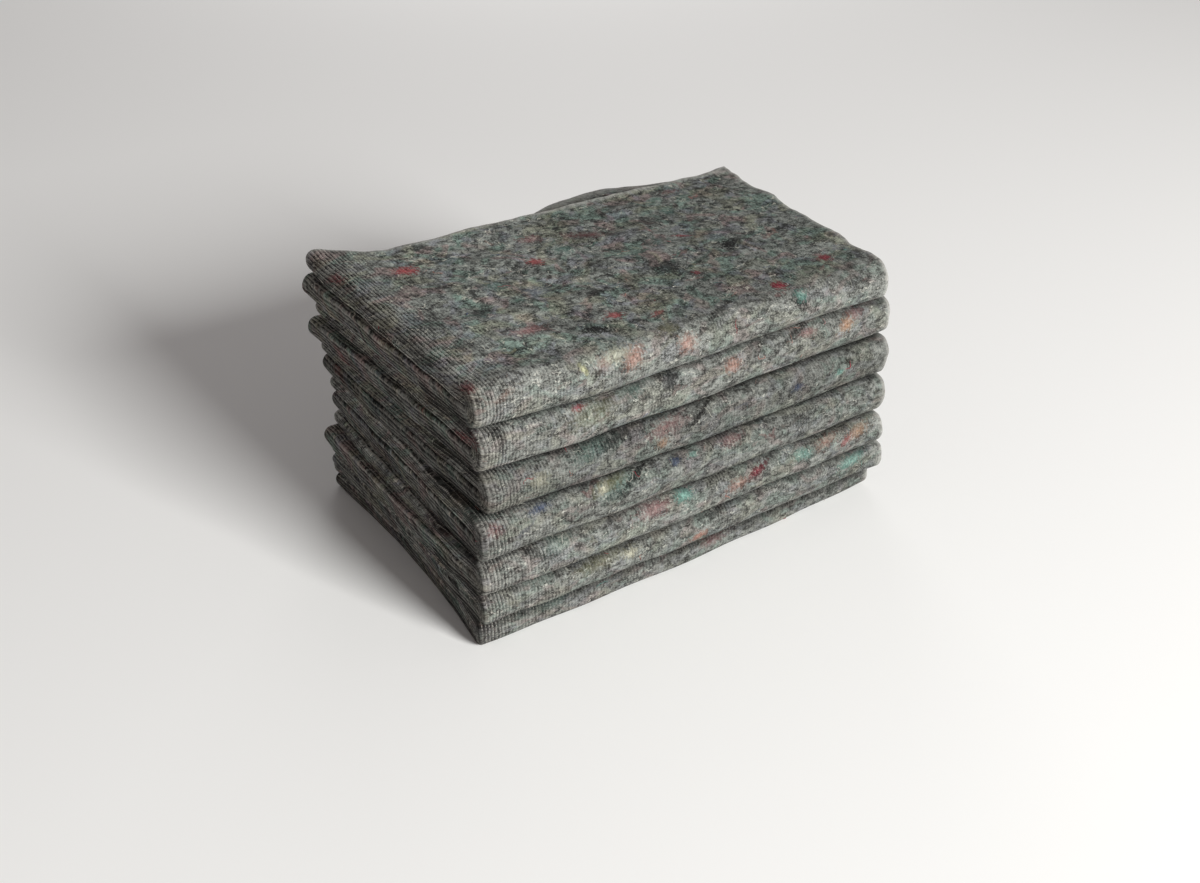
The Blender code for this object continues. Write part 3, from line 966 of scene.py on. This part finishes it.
def makeFelt(name, seed, shade, clumps):
    finish = feltFinish
    material, tree, shader = newMaterial(name, finish["shader"])
    place = addNode("UVMap", {}, tree, uv_map="sheet").outputs["UV"]
    pull = onMesh(tree, "pull")
    across, along, _ = splitXYZ(place)

    # the fibres lie across the cloth, most of all round the front folds
    half, more = finish["lieFront"]
    front = maths("MINIMUM", maths("MAXIMUM", along, -half), half)
    lieAlong = timesPlus(front, more, times(along, finish["lieAlong"]))
    lie = joinXY(times(across, finish["lieAcross"]), lieAlong)
    fibres = placeGroup(webGroup, {"Place": lie, "Seed": seed})
    sizes = {"Row Spacing": stitching["rowSpacing"], "Stitch Length": stitching["stitchLength"]}
    rows = placeGroup(rowsGroup, {"Place": place, **sizes})
    colour = fibres["Colour"]

    # the front is painted lighter and creamier, as in warm light, and is less colourful
    onFront = ease(maths("ABSOLUTE", along), *finish["front"])
    plain = addNode("RGBToBW", {0: colour}).outputs[0]
    plain = timesPlus(plain, *finish["frontPlain"])
    colour = mixColour(onFront, colour, scaled(finish["frontPaintedLight"], plain))

    # the clumps keep the felt's light and dark
    ragged = noise(place, *finish["raggedNoise"])["Fac"]
    uneven = ease(ragged, *finish["uneven"])
    ragged = timesPlus(ragged, *finish["raggedReach"])
    colour = scaled(colour, maths("DIVIDE", 1.0, uneven))
    for middle, length, width, turn, strength, hue in clumps:
        inputs = {
            "Place": place,
            "Ragged": ragged,
            "Middle": (*middle, 0),
            "Turn": radians(turn),
            "Length": length * millimetre,
            "Width": width * millimetre,
        }
        share = times(placeGroup(clumpGroup, inputs)["Mask"], strength)
        colour = mixColour(share, colour, (*clumpShades[hue], 1))
    colour = scaled(colour, uneven)

    # the top is smudged; painted light makes it lighter to the left, darker by its left edge and lighter by
    # its front left corner
    smudges = patches(place, *finish["smudges"])
    onTop = ease(along, *finish["top"])
    colour = mixColour(times(smudges, onTop), colour, (*finish["smudgeColour"], 1))
    paintedLight = ease(across, *finish["topLightFalloff"])
    paintedLight = times(paintedLight, ease(across, *finish["topEdgeShade"]))
    corner, cornerEnd = [ease(along, *edge) for edge in finish["cornerLight"]]
    corner = times(times(corner, cornerEnd), ease(across, *finish["cornerAcross"]))
    paintedLight = maths("ADD", paintedLight, corner)
    kept, steady = finish["lightOffTop"]
    steady = timesPlus(onTop, -steady, steady)
    paintedLight = timesPlus(paintedLight, timesPlus(onTop, 1 - kept, kept), steady)
    colour = scaled(colour, paintedLight)

    # the left side is painted a little redder, as warm shade; painted shade darkens the cloth where two
    # blankets press together and under an overhang
    onLeft = ease(maths("ABSOLUTE", across), *finish["left"])
    colour = mixColour(onLeft, colour, vectorMaths("MULTIPLY", colour, finish["leftShadeTint"]))
    pressed = onMesh(tree, "pressed")
    colour = scaled(colour, timesPlus(pressed, -finish["pressed"], 1.0))

    # the stitching shows where the cloth is pulled, and here and there; painted shade darkens its grooves
    worn = patches(place, *finish["worn"])
    hereAndThere = patches(place, *finish["hereAndThere"])
    shows = maths("MULTIPLY_ADD", pull, 1.0, hereAndThere, clamp=True)
    shows = times(shows, worn)
    groove = times(rows["Groove"], shows)
    thread = times(rows["Thread"], shows)
    colour = mixColour(times(groove, finish["groove"]), colour, (*finish["grooveShadeColour"], 1))
    colour = mixColour(times(thread, finish["thread"]), colour, (*finish["threadColour"], 1))

    # cut edges are frayed pale, partly as a painted highlight along them, and rubbed folds are pale
    frayedAndHighlight = times(onMesh(tree, "cut"), ease(worn, *finish["frayedAndHighlight"]))
    colour = mixColour(frayedAndHighlight, colour, (*finish["frayedHighlightColour"], 1))
    light = timesPlus(onMesh(tree, "rubbed"), finish["rubbed"] * shade, shade)
    feed(shader["Base Color"], scaled(colour, light))

    height = timesPlus(groove, finish["grooveDepth"], fibres["Height"])
    height = timesPlus(thread, finish["threadHeight"], height)
    bumps = {"Strength": finish["bump"], "Distance": finish["bumpHeight"], "Height": height}
    feed(shader["Normal"], addNode("Bump", bumps).outputs[0])
    return material


strandsGroup = makeStrandsGroup()
rowsGroup = makeRowsGroup()
webGroup = makeWebGroup(strandsGroup)
clumpGroup = makeClumpGroup()
for index, blanket in enumerate(blankets):
    piece, outside, onSheet = makeBlanket(index)
    clumps = []
    for x, y, z, *rest in eyeCatchers[blanket["node"]]:
        nearest = np.argmin(np.linalg.norm(outside - np.array((x, y, z)) * millimetre, axis=1))
        clumps.append((onSheet[nearest], *rest))
    number = index + 1
    piece.data.materials.append(makeFelt(f"recycled felt {number}", 1.37 * number, blanket["shade"], clumps))
    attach(piece, "root")
    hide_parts(blanket["node"])
    print("made", piece.name)

fibre = {
    "blanketShares": (0.5, 0.5, 0.5, 0.7, 0.8, 1.0, 1.0),
    "onTop": 50,
    "onFront": 28,
    "onLeft": 6,
    "radius": (0.00025, 0.00075),
    "points": (5, 18),
    "step": 0.0016,
    "curl": 0.60,
    "lift": 0.0009,
    "hairsOnTop": 120,
    "hairsOnFront": 60,
    "hairRadius": 0.00012,
    "hairLength": (0.004, 0.010),
    "hairPoints": 5,
    "hairStand": 0.0035,
    "hairArc": (1.5, 3.0),  # how far round each hair bends
    "waves": (4, 12),  # of a yarn end, up and down
    "tipThickness": 0.35,
    "sink": 0.0002,  # how deep its ends sit in the felt
    # where it lies, in metres across and along the sheet
    "acrossFront": (0.0, 0.72),
    "noseReach": 0.9,
    "leftPlaces": ((-0.02, 0.02), (0.06, 0.46)),
    "topPlaces": ((0.02, 0.74), (0.04, 0.46)),
    # felt round the side fold and round half the front fold, in layer heights
    "sideArc": 2.8,
    "halfNose": 5.2,
}
looseColours = [
    (0.50, (0.32, 0.318, 0.28)),
    (0.28, (0.014, 0.014, 0.014)),
    (0.07, (0.24, 0.04, 0.05)),
    (0.06, (0.08, 0.18, 0.16)),
    (0.05, (0.30, 0.15, 0.12)),
    (0.04, (0.07, 0.10, 0.20)),
]


def outerPlace(index, across, along, lift):
    # a place on the outside of a blanket from metres across and along its sheet, lifted off the felt
    pitch = layerPitch(blankets[index])
    sideArc, halfNose = fibre["sideArc"] * pitch, fibre["halfNose"] * pitch
    runs = folding["width"] - 1.5 * pitch
    side = np.sign(across) * np.minimum(np.abs(across) / sideArc, 1) + np.maximum(across - sideArc, 0) / runs
    length = outerNose + np.sign(along) * np.minimum(np.abs(along) / halfNose, 1) / 2
    length = length + np.sign(along) * np.maximum(np.abs(along) - halfNose, 0) / folding["lowerRun"]
    step = 0.002  # for the felt's slope either way
    here = np.stack(foldBlanket(index, side, length), -1)
    over = np.stack(foldBlanket(index, side + step, length), -1) - here
    onward = np.stack(foldBlanket(index, side, length + step), -1) - here
    normal = np.cross(over, onward)
    normal /= np.linalg.norm(normal, axis=-1, keepdims=True)
    return here + normal * (folding["fill"] * pitch / 2 + lift)[:, None]


def makeFibres(index):
    # loose ends of yarn that lie on the felt, and fine hairs that stand out of it
    blanket = blankets[index]
    draw = np.random.default_rng(500 + index)
    share = fibre["blanketShares"][index]
    halfNose = fibre["halfNose"] * layerPitch(blanket)
    frontPlaces = (fibre["acrossFront"], (-halfNose, halfNose * fibre["noseReach"]))
    jobs = [
        (frontPlaces, round(fibre["onFront"] * share), False),
        (fibre["leftPlaces"], round(fibre["onLeft"] * share), False),
        (frontPlaces, round(fibre["hairsOnFront"] * share), True),
    ]
    if index == topBlanket:
        jobs += [(fibre["topPlaces"], fibre["onTop"], False), (fibre["topPlaces"], fibre["hairsOnTop"], True)]
    paths, lifts, radii, tints = [], [], [], []
    for (acrossRange, alongRange), count, hair in jobs:
        for _ in range(count):
            start = np.array([draw.uniform(*acrossRange), draw.uniform(*alongRange)])
            points = fibre["hairPoints"] if hair else int(draw.integers(*fibre["points"]))
            step = draw.uniform(*fibre["hairLength"]) / (points - 1) if hair else fibre["step"]
            heading = draw.uniform(0, 2 * pi) + np.cumsum(draw.normal(0, fibre["curl"], points))
            paths.append(start + np.cumsum(np.stack([np.cos(heading), np.sin(heading)], -1) * step, axis=0))
            way = np.linspace(0, 1, points)
            if hair:
                rise = draw.uniform(0.2, 1.0) * fibre["hairStand"]
                rise = rise * np.sin(way * draw.uniform(*fibre["hairArc"]))
                radii.append(np.full(points, fibre["hairRadius"]))
            else:
                rise = fibre["lift"] * draw.uniform(0.1, 1.0)
                rise = rise * (0.5 + 0.5 * np.sin(way * draw.uniform(*fibre["waves"])))
                thick = blend(fibre["tipThickness"], 1, np.sin(pi * way) ** 0.5)
                radii.append(draw.uniform(*fibre["radius"]) * thick)
            lifts.append(rise - fibre["sink"])
            tints.append(draw.random())
    flat = np.concatenate(paths)
    spines = outerPlace(index, flat[:, 0], clip(flat[:, 1], -0.2, 0.5), np.concatenate(lifts))
    spines[:, 2] = np.maximum(spines[:, 2], millimetre)  # clear of the floor
    verts, faces, shades = [], [], []
    start = 0
    for radius, tint in zip(radii, tints):
        spine = spines[start : start + len(radius)]
        start += len(radius)
        forward = np.gradient(spine, axis=0)
        forward /= np.linalg.norm(forward, axis=1, keepdims=True) + 1e-9
        sideways = np.cross(forward, (0.31, 0.22, 0.92))
        sideways /= np.linalg.norm(sideways, axis=1, keepdims=True) + 1e-9
        upward = np.cross(sideways, forward)
        first = len(verts)
        for middle, out, up, thick in zip(spine, sideways, upward, radius):
            verts += [middle + thick * (cos(a) * out + sin(a) * up) for a in (0.5, 2.6, 4.7)]
        last = len(verts) - 3
        faces.append((first + 2, first + 1, first))
        for ring in range(first, last, 3):
            faces += [(ring + a, ring + (a + 1) % 3, ring + (a + 1) % 3 + 3, ring + a + 3) for a in range(3)]
        faces.append((last, last + 1, last + 2))
        shades += [tint] * (last + 3 - first)
    loose = bpy.data.meshes.new(blanket["node"] + "_yarn_ends")
    loose.from_pydata(verts, [], faces)
    loose.attributes.new("tint", "FLOAT", "POINT").data.foreach_set("value", shades)
    loose.shade_smooth()
    return addObject(blanket["node"] + "_yarn_ends", loose)


yarnFinish = {
    "shader": {"Roughness": 0.9, "Specular IOR Level": 0.15},
    "wornNoise": (600.0, 2.0),
    "worn": (0.9, 0.45),
}


def makeYarn():
    material, tree, shader = newMaterial("loose yarn", yarnFinish["shader"])
    tint = onMesh(tree, "tint")
    where = addNode("TexCoord", {}, tree).outputs["Object"]
    worn = noise(where, *yarnFinish["wornNoise"], dimensions="3D")["Fac"]
    colour = makePalette(tint, looseColours)
    feed(shader["Base Color"], scaled(colour, timesPlus(worn, *yarnFinish["worn"])))
    return material


yarn = makeYarn()
for index, blanket in enumerate(blankets):
    piece = makeFibres(index)
    piece.data.materials.append(yarn)
    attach(piece, "root")
    print("made", piece.name, len(piece.data.polygons), "faces")

studio = {
    "floorSize": 40,
    "floor": {"Base Color": (0.86, 0.86, 0.85, 1), "Roughness": 0.9},
    # place, size, power and colour
    "lights": {
        "key light": ((1.5, -7.5, 3.6), 2.6, 1175, (1.0, 1.0, 0.985)),
        "back light": ((3.0, 5.2, 1.5), 2.6, 70, (1.0, 1.0, 1.0)),
    },
    "lightsAimAt": (0, 0, 0.2),
    "world": {"Color": (1.0, 0.935, 0.92, 1), "Strength": 0.222},
}


def makeFloor():
    bpy.ops.mesh.primitive_plane_add(size=studio["floorSize"])
    floor = bpy.context.object
    floor.name = "floor"
    floor.data.materials.append(newMaterial("pale floor", studio["floor"])[0])


def addLight(name, place, size, power, colour):
    lamp = bpy.data.lights.new(name, "AREA")
    lamp.size = size
    lamp.energy = power
    lamp.color = colour
    light = addObject(name, lamp)
    light.location = place
    light.rotation_euler = (Vector(studio["lightsAimAt"]) - Vector(place)).to_track_quat("-Z", "Y").to_euler()


makeFloor()
for name, values in studio["lights"].items():
    addLight(name, *values)
world = bpy.data.worlds.new("studio")
world.use_nodes = True
for label, value in studio["world"].items():
    world.node_tree.nodes["Background"].inputs[label].default_value = value
bpy.context.scene.world = world
bpy.context.scene.view_settings.view_transform = "Standard"

# eye level standing, looking down at the near left corner
view = {
    "place": (-1.08716, -1.56914, 1.30835),
    "azimuth": -34.462,
    "elevation": 32.488,
    "roll": 0.824,
    "lens": 40.664,
    "sensor": 36,
}


def makeCamera():
    turn, tilt, roll = radians(view["azimuth"]), radians(view["elevation"]), radians(view["roll"])
    back = Vector((sin(turn) * cos(tilt), -cos(turn) * cos(tilt), sin(tilt)))
    right = (-back).cross(Vector((0, 0, 1))).normalized()
    up = right.cross(-back)
    rolledRight = right * cos(roll) + up * sin(roll)
    rolledUp = up * cos(roll) - right * sin(roll)
    lens = bpy.data.cameras.new("camera")
    lens.lens = view["lens"]
    lens.sensor_width = view["sensor"]
    camera = addObject("camera", lens)
    camera.matrix_world = Matrix((rolledRight, rolledUp, back)).transposed().to_4x4()
    camera.location = view["place"]
    bpy.context.scene.camera = camera


makeCamera()
print("studio and camera ready")
